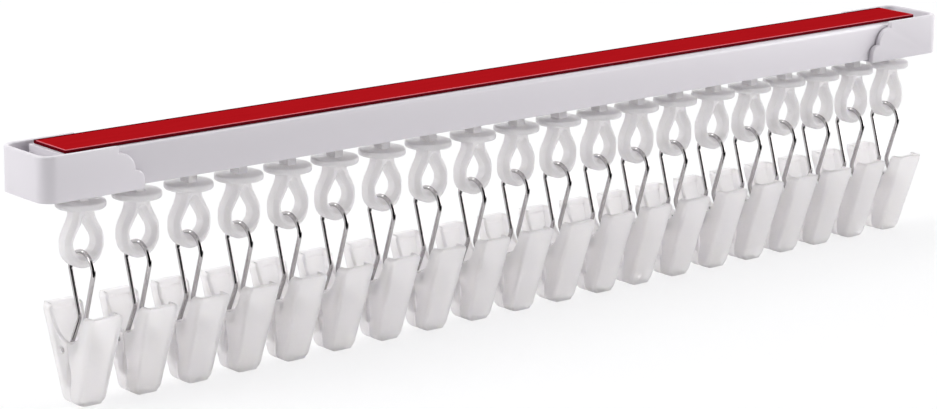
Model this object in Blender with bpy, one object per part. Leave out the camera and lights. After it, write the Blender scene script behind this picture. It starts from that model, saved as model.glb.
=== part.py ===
"""Multi-clip hanging rack: a stick-on rail with twenty sliding gliders and spring clips.

Metres, +Z up. X runs along the rail and the front is towards -Y. The origin is the centre of
the release film's top face, the face that is stuck to the underside of a shelf.
"""
import math

import bmesh
import bpy
from mathutils import Matrix, Vector

MM = 0.001

# General clearances
CLEARANCE = 0.3 * MM
LAYER_GAP = 0.05 * MM
WELD = 0.2 * MM

# Rail: a channel that is open along its underside
RAIL_LENGTH = 350.0 * MM
RAIL_WIDTH = 20.0 * MM
RAIL_HEIGHT = 12.0 * MM
RAIL_WALL = 1.3 * MM
RAIL_EDGE_RADIUS = 1.5 * MM
SLOT_WIDTH = 5.4 * MM
LIP_THICKNESS = 1.2 * MM

# Adhesive tape and the film that covers it
TAPE_WIDTH = 16.5 * MM
ADHESIVE_THICKNESS = 0.8 * MM
FILM_THICKNESS = 0.2 * MM

# End caps
CAP_WALL = 1.8 * MM
CAP_END_WALL = 1.5 * MM
CAP_OVERHANG = 9.7 * MM
CAP_RISE = 0.7 * MM
CAP_LIP = 0.5 * MM
CAP_FLOOR = 1.5 * MM
CAP_CORNER_RADIUS = 4.8 * MM
CAP_GRIP_TOP = 15.5 * MM
CAP_GRIP_BOTTOM = 24.1 * MM
CAP_SCALLOP_DROP = 2.0 * MM
CAP_SCALLOP_RADIUS = 5.6 * MM
CAP_SLOT_MARGIN = 0.8 * MM
CAP_STOP_WALL = 1.0 * MM
CAP_STOP_WIDTH = 16.4 * MM

# Gliders
GLIDER_COUNT = 20
FIRST_MARGIN = 10.0 * MM
LAST_MARGIN = 3.4 * MM
HEAD_LENGTH = 6.0 * MM
HEAD_WIDTH = 13.0 * MM
HEAD_HEIGHT = 2.2 * MM
NECK_LENGTH = 3.0 * MM
NECK_SIDE_PLAY = 0.5 * MM
DISC_DIAMETER = 14.7 * MM
DISC_THICKNESS = 2.0 * MM
DISC_DROP = 4.3 * MM
STEM_WIDTH = 7.0 * MM
STEM_LENGTH = 1.1 * MM
SHOULDER_LENGTH = 8.5 * MM
EYE_LENGTH = 8.22 * MM
EYE_WIDTH = 13.14 * MM
EYE_DEPTH = 5.7 * MM
EYE_EDGE = 1.4 * MM
HOLE_RADIUS = 3.8 * MM
HOLE_BAR = 3.6 * MM
HOLE_PEAK = 7.6 * MM
HOLE_PEAK_WIDTH = 2.6 * MM
HOLE_PEAK_HEIGHT = 6.2 * MM

# Where each glider is parked, as a share of the free room between two gliders
PARKED = (
    0.0, 0.5, 0.65, 0.75, 0.85, 0.85, 1.05, 1.25, 1.4, 1.5,
    1.55, 1.5, 1.15, 1.05, 1.0, 0.85, 0.5, 0.15, -0.05, 0.0,
)

# Wire springs
WIRE_DIAMETER = 1.4 * MM
LOOP_RADIUS = 6.1 * MM
LOOP_END_ANGLE = 5
LOOP_TO_WAIST = 13.9 * MM
WAIST_HALF = 1.5 * MM
WAIST_BEND = 1.2 * MM
WAIST_TO_FULCRUM = 6.7 * MM
TIP_BEND = 1.5 * MM
TIP_CORNER = 2.6 * MM
TIP_INSET = 0.15 * MM

# Jaws, in the plane across the rail, from the line where the two jaws rock on each other
JAW_LENGTH = 29.4 * MM
JAW_LEAN = math.radians(17.8)
JAW_TIP_DEPTH = 4.4 * MM
JAW_TIP_DROP = 18.2 * MM
JAW_TIP_SOLID = 4.4 * MM
JAW_TOP_WIDTH = 11.6 * MM
JAW_TIP_WIDTH = 9.6 * MM
JAW_PLATE = 1.3 * MM
JAW_FLANGE = 1.4 * MM
JAW_FLANGE_DEPTH = 4.2 * MM
JAW_RIM = 1.5 * MM
JAW_RIM_DEPTH = 2.0 * MM
JAW_TOP_SLOPE = 1.0 * MM
JAW_CORNER_RADIUS = 1.5 * MM
JAW_EDGE_STRAIGHT = 3.8 * MM
JAW_CURVE_ACROSS = 6.0 * MM
JAW_CURVE_RISE = 0.6 * MM
JAW_WEB = 1.2 * MM
JAW_WEB_HEIGHT = 4.0 * MM
JAW_HOLE_ACROSS = 3.0 * MM
JAW_HOLE_DROP = 2.6 * MM
JAW_HOLE_PLAY = 0.35 * MM
FULCRUM_FLAT = 5.4 * MM
LENS_LENGTH = 8.0 * MM
LENS_DEPTH = 0.9 * MM
TIP_CHAMFER = 0.5 * MM
TIP_CROWN = 0.3 * MM
ARTICULATED_CLIPS = 7

# Heights, from the film's top face down
FILM_BOTTOM = -FILM_THICKNESS
ADHESIVE_TOP = FILM_BOTTOM - LAYER_GAP
RAIL_TOP = ADHESIVE_TOP - ADHESIVE_THICKNESS - LAYER_GAP
RAIL_BOTTOM = RAIL_TOP - RAIL_HEIGHT
LIP_TOP = RAIL_BOTTOM + LIP_THICKNESS
CAP_TOP = RAIL_TOP + CAP_RISE
CAP_BOTTOM = RAIL_BOTTOM - CLEARANCE - CAP_LIP
HEAD_BOTTOM = LIP_TOP + CLEARANCE
DISC_TOP = RAIL_BOTTOM - DISC_DROP
DISC_BOTTOM = DISC_TOP - DISC_THICKNESS
SHOULDER_TOP = DISC_BOTTOM - STEM_LENGTH
EYE_TOP = SHOULDER_TOP - SHOULDER_LENGTH
EYE_BOTTOM = EYE_TOP - EYE_LENGTH
BAR_TOP = EYE_BOTTOM + HOLE_BAR
LOOP_CENTRE = BAR_TOP + CLEARANCE + WIRE_DIAMETER / 2 - LOOP_RADIUS
SWING_AXIS = LOOP_CENTRE
WAIST_HEIGHT = LOOP_CENTRE - LOOP_TO_WAIST
FULCRUM = WAIST_HEIGHT - WAIST_TO_FULCRUM

# Lengths along X
RAIL_END = RAIL_LENGTH / 2
CAP_END = RAIL_END + CAP_OVERHANG
CAP_STOP = RAIL_END + CLEARANCE
CAP_POCKET = CAP_STOP + CAP_STOP_WALL
CAP_HALF_WIDTH = RAIL_WIDTH / 2 + CLEARANCE + CAP_WALL
NECK_WIDTH = SLOT_WIDTH - 2 * NECK_SIDE_PLAY
PITCH = (RAIL_LENGTH - FIRST_MARGIN - LAST_MARGIN) / (GLIDER_COUNT - 1)
FREE_ROOM = PITCH - DISC_DIAMETER

# Segments of the round stretches
CORNER_STEPS = 4
SHOULDER_STEPS = 3
EYE_STEPS = 8
HOLE_STEPS = 4
DISC_SIDES = 16
LOOP_STEPS = 6
JAW_CURVE_STEPS = 4
WIRE_HOLE_SIDES = 8
WIRE_RESOLUTION = 1

MATERIALS = {
    "white_plastic": ((0.80, 0.79, 0.82), 0.35, 0.0),
    "glider_nylon": ((0.72, 0.72, 0.73), 0.30, 0.0),
    "jaw_plastic": ((0.70, 0.70, 0.71), 0.40, 0.0),
    "clip_plastic": ((0.68, 0.68, 0.69), 0.40, 0.0),
    "spring_steel": ((0.45, 0.45, 0.46), 0.18, 1.0),
    "adhesive": ((0.22, 0.01, 0.015), 0.25, 0.0),
    "red_film": ((0.50, 0.006, 0.010), 0.30, 0.0),
}


def clear_scene():
    """Remove the objects that the open file starts with."""
    for item in list(bpy.data.objects):
        bpy.data.objects.remove(item, do_unlink=True)


def material(name):
    """A Principled material, made once for each name."""
    found = bpy.data.materials.get(name)
    if found:
        return found
    colour, roughness, metallic = MATERIALS[name]
    made = bpy.data.materials.new(name)
    made.use_nodes = True
    shader = made.node_tree.nodes["Principled BSDF"]
    shader.inputs["Base Color"].default_value = (*colour, 1.0)
    shader.inputs["Roughness"].default_value = roughness
    shader.inputs["Metallic"].default_value = metallic
    return made


def arc(centre, radius, start, end, steps):
    """Points on an arc from start to end, in degrees, both ends included."""
    points = []
    for step in range(steps + 1):
        angle = math.radians(start + (end - start) * step / steps)
        points.append((centre[0] + radius * math.cos(angle), centre[1] + radius * math.sin(angle)))
    return points


def mirrored(points):
    """The outline's other half, in the order that closes it."""
    return [(-across, along) for across, along in reversed(points)]


def body(name, mesh_builder):
    """An object from a bmesh, linked to the scene."""
    mesh = bpy.data.meshes.new(name)
    bmesh.ops.recalc_face_normals(mesh_builder, faces=mesh_builder.faces)
    mesh_builder.to_mesh(mesh)
    mesh_builder.free()
    made = bpy.data.objects.new(name, mesh)
    bpy.context.scene.collection.objects.link(made)
    return made


def prism(name, outline, axis, low, high):
    """A solid with the given outline, extruded along an axis from low to high."""
    places = {
        "X": lambda a, b: (low, a, b),
        "Y": lambda a, b: (a, low, b),
        "Z": lambda a, b: (a, b, low),
    }
    travel = {"X": (high - low, 0, 0), "Y": (0, high - low, 0), "Z": (0, 0, high - low)}
    mesh_builder = bmesh.new()
    verts = [mesh_builder.verts.new(places[axis](*point)) for point in outline]
    face = mesh_builder.faces.new(verts)
    grown = bmesh.ops.extrude_face_region(mesh_builder, geom=[face])
    moved = [item for item in grown["geom"] if isinstance(item, bmesh.types.BMVert)]
    bmesh.ops.translate(mesh_builder, verts=moved, vec=travel[axis])
    return body(name, mesh_builder)


def block(name, low, high):
    """A rectangular solid between two corners."""
    outline = [(low[0], low[1]), (high[0], low[1]), (high[0], high[1]), (low[0], high[1])]
    return prism(name, outline, "Z", low[2], high[2])


def combine(target, other, operation):
    """Join another solid to the target or cut it away, and drop the other solid."""
    modifier = target.modifiers.new(operation.lower(), "BOOLEAN")
    modifier.operation = operation
    modifier.solver = "EXACT"
    modifier.object = other
    settle(target)
    bpy.data.objects.remove(other, do_unlink=True)


def settle(target):
    """Turn the target's modifiers, or its curve, into a plain mesh."""
    graph = bpy.context.evaluated_depsgraph_get()
    mesh = bpy.data.meshes.new_from_object(target.evaluated_get(graph))
    target.modifiers.clear()
    target.data = mesh


def soften(target, width, segments, angle):
    """Bevel the target's edges that are sharper than the angle."""
    modifier = target.modifiers.new("soft_edges", "BEVEL")
    modifier.width = width
    modifier.segments = segments
    modifier.limit_method = "ANGLE"
    modifier.angle_limit = math.radians(angle)
    settle(target)


def take_mesh(target, origin=(0, 0, 0)):
    """The target's mesh about a new origin, and remove the target."""
    mesh = target.data
    mesh.transform(Matrix.Translation(-Vector(origin)))
    bpy.data.objects.remove(target, do_unlink=True)
    return mesh


def place(name, mesh, material_name, location, parent=None, turned=False):
    """A named piece with a shared mesh, its origin where its joint is."""
    made = bpy.data.objects.new(name, mesh)
    bpy.context.scene.collection.objects.link(made)
    if not mesh.materials:
        mesh.materials.append(material(material_name))
    offset = Vector(parent.matrix_world.translation) if parent else Vector()
    made.parent = parent
    made.location = Vector(location) - offset
    if turned:
        made.rotation_euler = (0, 0, math.pi)
    bpy.context.view_layer.update()
    return made


def rail_mesh():
    """The channel's section, extruded over its length."""
    half = RAIL_WIDTH / 2
    inner = half - RAIL_WALL
    slot = SLOT_WIDTH / 2
    rounded = (half - RAIL_EDGE_RADIUS, RAIL_TOP - RAIL_EDGE_RADIUS)
    side = [(slot, LIP_TOP), (slot, RAIL_BOTTOM), (half, RAIL_BOTTOM)]
    side += arc(rounded, RAIL_EDGE_RADIUS, 0, 90, CORNER_STEPS)
    far_side = mirrored(side)
    ceiling = RAIL_TOP - RAIL_WALL
    channel = [(-inner, LIP_TOP), (-inner, ceiling), (inner, ceiling), (inner, LIP_TOP)]
    return take_mesh(prism("rail", side + far_side + channel, "X", -RAIL_END, RAIL_END))


def layer_mesh(name, low, high):
    """One flat layer of the tape, as long as the rail."""
    half = TAPE_WIDTH / 2
    return take_mesh(block(name, (-RAIL_END, -half, low), (RAIL_END, half, high)))


def rounded_end(half_width, end, radius, start):
    """Plan outline of a block from start to a rounded end."""
    corner = (end - radius, half_width - radius)
    far = arc(corner, radius, 0, 90, CORNER_STEPS) + [(start, half_width)]
    near = [(along, -across) for along, across in reversed(far)]
    return far + near


def cap_profile():
    """What is cut from the cap's side walls: two rounded steps, seen from the front."""
    start = RAIL_END - CAP_GRIP_BOTTOM
    top_x = RAIL_END - CAP_GRIP_TOP
    step_x = top_x - CAP_SCALLOP_RADIUS
    step_z = CAP_TOP - CAP_SCALLOP_DROP - CAP_SCALLOP_RADIUS
    step = step_x - start
    upper = arc((top_x, step_z), CAP_SCALLOP_RADIUS, 90, 180, CORNER_STEPS)
    lower = arc((step_x, step_z - step), step, 90, 180, CORNER_STEPS)
    outside = start - CAP_WALL
    foot = [(start, CAP_BOTTOM - CAP_WALL), (outside, CAP_BOTTOM - CAP_WALL)]
    head = [(outside, CAP_TOP + CAP_WALL), (top_x, CAP_TOP + CAP_WALL)]
    return head + upper + lower[1:] + foot


def cap_mesh():
    """The right end cap: side walls, a slotted bottom, a stop wall and a pocket past it."""
    start = RAIL_END - CAP_GRIP_BOTTOM
    inside = CAP_HALF_WIDTH - CAP_WALL
    cavity_end = CAP_END - CAP_END_WALL
    inner_radius = CAP_CORNER_RADIUS - CAP_WALL
    over = CAP_TOP + CAP_WALL
    before = start - CAP_WALL
    shell = prism("cap", rounded_end(CAP_HALF_WIDTH, CAP_END, CAP_CORNER_RADIUS, start), "Z",
                  CAP_BOTTOM, CAP_TOP)
    floor = CAP_BOTTOM + CAP_FLOOR
    pocket = rounded_end(inside, cavity_end, inner_radius, CAP_POCKET)
    combine(shell, prism("pocket", pocket, "Z", floor, over), "DIFFERENCE")
    above_rail = block("above_rail", (before, -inside, RAIL_TOP), (CAP_POCKET + WELD, inside, over))
    combine(shell, above_rail, "DIFFERENCE")
    for near, far in ((-inside, -CAP_STOP_WIDTH / 2), (CAP_STOP_WIDTH / 2, inside)):
        beside = block("beside_stop", (CAP_STOP - WELD, near, floor), (CAP_POCKET + WELD, far, over))
        combine(shell, beside, "DIFFERENCE")
    seat = block("seat", (before, -inside, RAIL_BOTTOM - CLEARANCE), (CAP_STOP, inside, over))
    combine(shell, seat, "DIFFERENCE")
    slot_half = SLOT_WIDTH / 2 + CAP_SLOT_MARGIN
    slot = block("slot", (before, -slot_half, CAP_BOTTOM - CAP_WALL), (CAP_STOP, slot_half, over))
    combine(shell, slot, "DIFFERENCE")
    scallop = prism("scallop", cap_profile(), "Y", -CAP_HALF_WIDTH - CAP_WALL,
                    CAP_HALF_WIDTH + CAP_WALL)
    combine(shell, scallop, "DIFFERENCE")
    return take_mesh(shell, (RAIL_END, 0, RAIL_TOP))


def eye_outline():
    """Stem, shoulders and round eye of a glider, seen from the front."""
    half = EYE_WIDTH / 2
    centre = EYE_BOTTOM + half
    side = [(STEM_WIDTH / 2, DISC_BOTTOM + WELD), (STEM_WIDTH / 2, SHOULDER_TOP)]
    for step in range(1, SHOULDER_STEPS + 1):
        share = step / SHOULDER_STEPS
        swell = (half - STEM_WIDTH / 2) * (0.5 - 0.5 * math.cos(math.pi * share))
        side.append((STEM_WIDTH / 2 + swell, SHOULDER_TOP - SHOULDER_LENGTH * share))
    side += arc((0, centre), half, 0, -90, EYE_STEPS // 2)
    return side + mirrored(side[:-1])


def hole_outline():
    """Drop-shaped hole of a glider, seen from the front."""
    centre = BAR_TOP + HOLE_RADIUS
    peak = centre + HOLE_PEAK
    lean = math.degrees(math.asin(HOLE_RADIUS / HOLE_PEAK))
    side = [(HOLE_PEAK_WIDTH / 2, centre + HOLE_PEAK_HEIGHT)]
    side += arc((0, centre), HOLE_RADIUS, lean, -90, HOLE_STEPS)
    return [(0, peak)] + side + mirrored(side[:-1])


def glider_mesh():
    """A glider: head in the channel, neck through the slot, disc and eye below."""
    eye = prism("eye", eye_outline(), "Y", -EYE_DEPTH / 2, EYE_DEPTH / 2)
    hole = prism("hole", hole_outline(), "Y", -EYE_DEPTH, EYE_DEPTH)
    combine(eye, hole, "DIFFERENCE")
    soften(eye, EYE_EDGE, 1, 60)
    disc = prism("disc", arc((0, 0), DISC_DIAMETER / 2, 0, 360, DISC_SIDES)[:-1], "Z",
                 DISC_BOTTOM, DISC_TOP)
    combine(eye, disc, "UNION")
    neck = block("neck", (-NECK_LENGTH / 2, -NECK_WIDTH / 2, DISC_TOP - WELD),
                 (NECK_LENGTH / 2, NECK_WIDTH / 2, HEAD_BOTTOM + WELD))
    combine(eye, neck, "UNION")
    head = block("head", (-HEAD_LENGTH / 2, -HEAD_WIDTH / 2, HEAD_BOTTOM),
                 (HEAD_LENGTH / 2, HEAD_WIDTH / 2, HEAD_BOTTOM + HEAD_HEIGHT))
    combine(eye, head, "UNION")
    return take_mesh(eye, (0, 0, HEAD_BOTTOM))


def bend(before, corner, after, reach):
    """Three points that round a corner of the wire."""
    start = corner + (before - corner).normalized() * reach
    end = corner + (after - corner).normalized() * reach
    return [start, start * 0.25 + corner * 0.5 + end * 0.25, end]


def wire_half():
    """Half of the wire's bend, from the tip in the back jaw's flange to the loop's top."""
    hole_height = FULCRUM - JAW_HOLE_DROP
    tip_end = jaw_half_width(-JAW_HOLE_DROP) - TIP_INSET
    tip = Vector((-tip_end, JAW_HOLE_ACROSS, hole_height))
    corner = Vector((-TIP_CORNER, JAW_HOLE_ACROSS, hole_height))
    waist = Vector((0, WAIST_HALF, WAIST_HEIGHT))
    loop = [Vector((0, across, height)) for across, height in
            arc((0, LOOP_CENTRE), LOOP_RADIUS, LOOP_END_ANGLE, 90, LOOP_STEPS)]
    tip_bend = bend(tip, corner, waist, TIP_BEND)
    return [tip] + tip_bend + bend(corner, waist, loop[0], WAIST_BEND) + loop


def wire_solid():
    """The bent wire of one clip as a solid."""
    half = wire_half()
    other = [Vector((-point.x, -point.y, point.z)) for point in reversed(half[:-1])]
    curve = bpy.data.curves.new("wire", "CURVE")
    curve.dimensions = "3D"
    curve.bevel_depth = WIRE_DIAMETER / 2
    curve.bevel_resolution = WIRE_RESOLUTION
    curve.use_fill_caps = True
    spline = curve.splines.new("POLY")
    points = half + other
    spline.points.add(len(points) - 1)
    for target, point in zip(spline.points, points):
        target.co = (*point, 1.0)
    made = bpy.data.objects.new("wire", curve)
    bpy.context.scene.collection.objects.link(made)
    mesh = bpy.data.meshes.new_from_object(
        made.evaluated_get(bpy.context.evaluated_depsgraph_get()))
    bpy.data.objects.remove(made, do_unlink=True)
    solid = bpy.data.objects.new("wire", mesh)
    bpy.context.scene.collection.objects.link(solid)
    return solid


def jaw_half_width(height):
    """Half of the jaw's width at a height over the fulcrum."""
    share = (height + JAW_TIP_DROP) / (JAW_LENGTH * math.cos(JAW_LEAN))
    return (JAW_TIP_WIDTH + (JAW_TOP_WIDTH - JAW_TIP_WIDTH) * share) / 2


def jaw_frame(along, depth):
    """A point on the back jaw, up along its outer face from the tip and in from it."""
    across = JAW_TIP_DEPTH + along * math.sin(JAW_LEAN) - depth * math.cos(JAW_LEAN)
    return across, -JAW_TIP_DROP + along * math.cos(JAW_LEAN) + depth * math.sin(JAW_LEAN)


def jaw_outline(play):
    """Side outline of the back jaw: the inner edge rocks on the other jaw at the origin."""
    high = jaw_frame(JAW_LENGTH - JAW_EDGE_STRAIGHT, JAW_FLANGE_DEPTH)
    low = (play, 0)
    pull = (JAW_CURVE_ACROSS, JAW_CURVE_RISE)
    inner = [jaw_frame(JAW_LENGTH - JAW_TOP_SLOPE, JAW_FLANGE_DEPTH)]
    for step in range(JAW_CURVE_STEPS + 1):
        share = step / JAW_CURVE_STEPS
        inner.append(tuple(
            (1 - share) ** 2 * high[i] + 2 * share * (1 - share) * pull[i] + share ** 2 * low[i]
            for i in (0, 1)))
    for step in range(JAW_CURVE_STEPS + 1):
        share = step / JAW_CURVE_STEPS
        inner.append((play + LENS_DEPTH * math.sin(math.pi * share),
                      -FULCRUM_FLAT - LENS_LENGTH * share))
    floor = -JAW_TIP_DROP - TIP_CROWN
    tip = [(play, floor + TIP_CHAMFER), (play + TIP_CHAMFER, floor),
           (JAW_TIP_DEPTH - TIP_CHAMFER, floor), jaw_frame(0, 0)]
    return inner + tip + [jaw_frame(JAW_LENGTH, 0)]


def tapered(target, flange):
    """Give a prism that runs from -1 to 1 the jaw's width, less the flange."""
    for vert in target.data.vertices:
        vert.co.x *= jaw_half_width(vert.co.z) - flange


def hollow_outline(play):
    """Side outline of what is cut from a jaw: all but its plate, rim, web and solid tip."""
    below_rim = JAW_LENGTH - JAW_TOP_SLOPE - JAW_RIM
    over = jaw_frame(JAW_LENGTH + JAW_TOP_SLOPE, JAW_RIM_DEPTH)
    beyond = -JAW_LENGTH
    web = play + JAW_WEB
    tip_top = -FULCRUM_FLAT - LENS_LENGTH
    return [jaw_frame(below_rim, JAW_PLATE), jaw_frame(below_rim, JAW_RIM_DEPTH), over,
            (beyond, over[1]), (beyond, 0), (web, 0), (web, -JAW_WEB_HEIGHT),
            (beyond, -JAW_WEB_HEIGHT), (beyond, tip_top), jaw_frame(JAW_TIP_SOLID, JAW_PLATE)]


def jaw_solid(play):
    """The back jaw as a tray that opens towards the middle, with its fulcrum at the origin."""
    jaw = prism("jaw", jaw_outline(play), "X", -1, 1)
    tapered(jaw, 0)
    round_top(jaw)
    cutter = prism("hollow", hollow_outline(play), "X", -1, 1)
    tapered(cutter, JAW_FLANGE)
    combine(jaw, cutter, "DIFFERENCE")
    return jaw


def round_top(jaw):
    """Round the two top corners of a jaw."""
    mesh_builder = bmesh.new()
    mesh_builder.from_mesh(jaw.data)
    top = jaw_frame(JAW_LENGTH - JAW_RIM, JAW_FLANGE_DEPTH)[1]
    corners = [edge for edge in mesh_builder.edges
               if min(vert.co.z for vert in edge.verts) > top
               and abs(edge.verts[0].co.x + edge.verts[1].co.x) > JAW_TIP_WIDTH / 2]
    bmesh.ops.bevel(mesh_builder, geom=corners, offset=JAW_CORNER_RADIUS, segments=2,
                    profile=0.5, affect="EDGES")
    mesh_builder.to_mesh(jaw.data)
    mesh_builder.free()


def jaw_mesh():
    """A loose jaw, about its fulcrum, with the hole for the wire's tip in one flange."""
    jaw = jaw_solid(CLEARANCE / 2)
    ring = arc((JAW_HOLE_ACROSS, -JAW_HOLE_DROP), WIRE_DIAMETER / 2 + JAW_HOLE_PLAY, 0, 360,
               WIRE_HOLE_SIDES)[:-1]
    combine(jaw, prism("wire_hole", ring, "X", -JAW_TOP_WIDTH, -TIP_CORNER), "DIFFERENCE")
    return take_mesh(jaw)


def wire_mesh():
    """A loose wire spring, about the axis that it swings on."""
    return take_mesh(wire_solid(), (0, 0, SWING_AXIS))


def clip_mesh():
    """Wire and jaws as one solid, about the axis that the clip swings on."""
    clip = wire_solid()
    for turn in (0, math.pi):
        jaw = jaw_solid(-LAYER_GAP)
        jaw.data.transform(Matrix.Translation((0, 0, FULCRUM)) @ Matrix.Rotation(turn, 4, "Z"))
        combine(clip, jaw, "UNION")
    return take_mesh(clip, (0, 0, SWING_AXIS))


def station(index):
    """Where a glider is parked along the rail."""
    return -RAIL_END + FIRST_MARGIN + index * PITCH + PARKED[index] * FREE_ROOM


def smooth(mesh, angle):
    """Shade a mesh smooth up to an angle."""
    mesh.shade_smooth()
    mesh.set_sharp_from_angle(angle=math.radians(angle))


def build():
    """Make every piece and put it in its place."""
    clear_scene()
    rail = place("rail", rail_mesh(), "white_plastic", (0, 0, 0))
    place("adhesive_tape", layer_mesh("adhesive", ADHESIVE_TOP - ADHESIVE_THICKNESS, ADHESIVE_TOP),
          "adhesive", (0, 0, 0), rail)
    place("release_film", layer_mesh("film", FILM_BOTTOM, 0), "red_film", (0, 0, 0), rail)
    cap = cap_mesh()
    place("end_cap_left", cap, "white_plastic", (-RAIL_END, 0, RAIL_TOP), rail, turned=True)
    place("end_cap_right", cap, "white_plastic", (RAIL_END, 0, RAIL_TOP), rail)
    glider = glider_mesh()
    wire = wire_mesh()
    jaw = jaw_mesh()
    clip = clip_mesh()
    for mesh in (rail.data, cap, glider, wire, jaw, clip):
        smooth(mesh, 35)
    for index in range(GLIDER_COUNT):
        number = f"{index + 1:02d}"
        along = station(index)
        carrier = place(f"glider_{number}", glider, "glider_nylon", (along, 0, HEAD_BOTTOM), rail)
        hung = (along, 0, SWING_AXIS)
        if index >= ARTICULATED_CLIPS:
            place(f"clip_{number}", clip, "clip_plastic", hung, carrier)
            continue
        spring = place(f"wire_spring_{number}", wire, "spring_steel", hung, carrier)
        rocker = (along, 0, FULCRUM)
        place(f"back_jaw_{number}", jaw, "jaw_plastic", rocker, spring)
        place(f"front_jaw_{number}", jaw, "jaw_plastic", rocker, spring, turned=True)


build()
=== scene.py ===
"""Studio picture of a multi-clip hanging rack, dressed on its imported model.

Metres, +Z up. X runs along the rail and the front is towards -Y. Sizes in the classes of the
rack's own pieces are in millimetres, and heights are measured from the top of the release film.
"""

import logging
import math
from contextlib import contextmanager
from dataclasses import dataclass
from enum import Enum, IntEnum
from typing import Any, Callable, Iterator, Optional, Sequence

import bmesh
import bpy
from mathutils import Matrix, Vector


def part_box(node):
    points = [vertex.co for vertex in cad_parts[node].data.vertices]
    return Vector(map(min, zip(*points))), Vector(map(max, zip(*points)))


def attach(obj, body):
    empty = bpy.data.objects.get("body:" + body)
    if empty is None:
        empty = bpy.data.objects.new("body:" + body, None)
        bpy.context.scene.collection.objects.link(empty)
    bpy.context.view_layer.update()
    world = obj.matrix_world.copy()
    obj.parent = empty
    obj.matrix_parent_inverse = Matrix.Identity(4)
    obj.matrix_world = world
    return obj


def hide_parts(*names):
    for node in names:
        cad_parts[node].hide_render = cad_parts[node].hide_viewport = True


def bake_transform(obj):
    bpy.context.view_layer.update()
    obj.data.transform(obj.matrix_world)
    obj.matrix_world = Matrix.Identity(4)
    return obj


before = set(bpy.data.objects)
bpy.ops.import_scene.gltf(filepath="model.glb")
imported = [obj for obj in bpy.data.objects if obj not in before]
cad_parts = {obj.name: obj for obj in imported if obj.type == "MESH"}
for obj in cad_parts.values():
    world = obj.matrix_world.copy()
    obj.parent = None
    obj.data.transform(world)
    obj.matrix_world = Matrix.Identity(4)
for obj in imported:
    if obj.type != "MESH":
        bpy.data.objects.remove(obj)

MM = 0.001
LOG = logging.getLogger("hanging_rack")

# How far a cutting solid reaches past what it cuts, in millimetres
PAST = 1.0

# How near to a place counts as being there, and how near counts as touching it, in millimetres
NEAR = 0.1
TOUCHING = 0.01

Point = tuple[float, float]
Triple = tuple[float, float, float]


class Axis(IntEnum):
    """The numbers of the three axes."""

    X = 0
    Y = 1
    Z = 2


class Element(Enum):
    """What a selection in edit mode is made of."""

    EDGES = "EDGE"
    FACES = "FACE"


class Join(Enum):
    """What becomes of two solids."""

    CUT = "DIFFERENCE"
    WELD = "UNION"
    SHARED = "INTERSECT"


class Keep(Enum):
    """What a cut along a plane leaves of a piece."""

    ALL = 0
    ABOVE = 1
    BELOW = 2


class Side(Enum):
    """The two ends of the rail, with the turn about Z that takes a cap there."""

    LEFT = math.pi
    RIGHT = 0.0


class Half(Enum):
    """The two halves of a clip, with the sign of Y on their side."""

    BACK = 1
    FRONT = -1

    @property
    def word(self) -> str:
        """Its name in the names of pieces and nodes."""
        return self.name.lower()

    @property
    def turn(self) -> Matrix:
        """The turn about Z that takes a piece of the back half there."""
        return Matrix.Rotation(math.pi if self is Half.FRONT else 0.0, 4, "Z")


class Plane(Enum):
    """The plane in which an outline is drawn; the plate grows along the third axis."""

    YZ = 0
    XZ = 1
    XY = 2

    def place(self, point: Point, depth: float) -> Vector:
        """A point of the outline in space, in metres.

        Args:
            point: the two coordinates in the plane, in millimetres.
            depth: the coordinate along the third axis, in millimetres.

        Returns:
            The point in metres.
        """
        values = list(point)
        values.insert(self.value, depth)
        return Vector(values) * MM

    def travel(self, distance: float) -> Vector:
        """A move along the third axis, in metres."""
        return self.place((0.0, 0.0), distance)


# Bench work: the modelling operators, one small step each


def hold(piece: bpy.types.Object) -> None:
    """Select one piece alone and make it active.

    Args:
        piece: the piece to work on.
    """
    bpy.ops.object.select_all(action="DESELECT")
    piece.select_set(True)
    bpy.context.view_layer.objects.active = piece


@contextmanager
def editing(piece: bpy.types.Object) -> Iterator[None]:
    """Work on a piece in edit mode.

    Args:
        piece: the piece to open.
    """
    hold(piece)
    bpy.ops.object.mode_set(mode="EDIT")
    yield
    bpy.ops.object.mode_set(mode="OBJECT")


def choose(piece: bpy.types.Object, kind: Element, test: Callable[[Any], bool]) -> None:
    """Select what passes a test, in edit mode.

    Args:
        piece: the piece that is open in edit mode.
        kind: edges or faces.
        test: says whether an element is wanted.
    """
    bpy.ops.mesh.select_mode(type=kind.value)
    bpy.ops.mesh.select_all(action="DESELECT")
    mesh = bmesh.from_edit_mesh(piece.data)
    for item in mesh.edges if kind is Element.EDGES else mesh.faces:
        if test(item):
            item.select_set(True)
    mesh.select_flush_mode()
    bmesh.update_edit_mesh(piece.data)


def middle(element: Any) -> Vector:
    """The middle of an edge or face, in millimetres."""
    return sum((vert.co for vert in element.verts), Vector()) / len(element.verts) / MM


def runs_along(edge: Any, axis: Axis, mostly: float = 0.9) -> bool:
    """Whether an edge runs mostly along an axis."""
    run = edge.verts[1].co - edge.verts[0].co
    return abs(run[axis]) > mostly * run.length


def is_sharp(edge: Any, angle: float) -> bool:
    """Whether the surface turns at an edge by more than an angle in degrees."""
    return edge.calc_face_angle(0.0) > math.radians(angle)


def settle(piece: bpy.types.Object) -> None:
    """Put the piece's place, turn and size into its mesh."""
    hold(piece)
    bpy.ops.object.transform_apply(location=True, rotation=True, scale=True)


def refine(piece: bpy.types.Object, kind: str, **settings: Any) -> None:
    """Add a modifier to a piece and apply it.

    Args:
        piece: the piece to refine.
        kind: the modifier's type.
        settings: the modifier's settings by name.
    """
    hold(piece)
    modifier = piece.modifiers.new(kind.lower(), kind)
    for name, value in settings.items():
        setattr(modifier, name, value)
    bpy.ops.object.modifier_apply(modifier=modifier.name)


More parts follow.
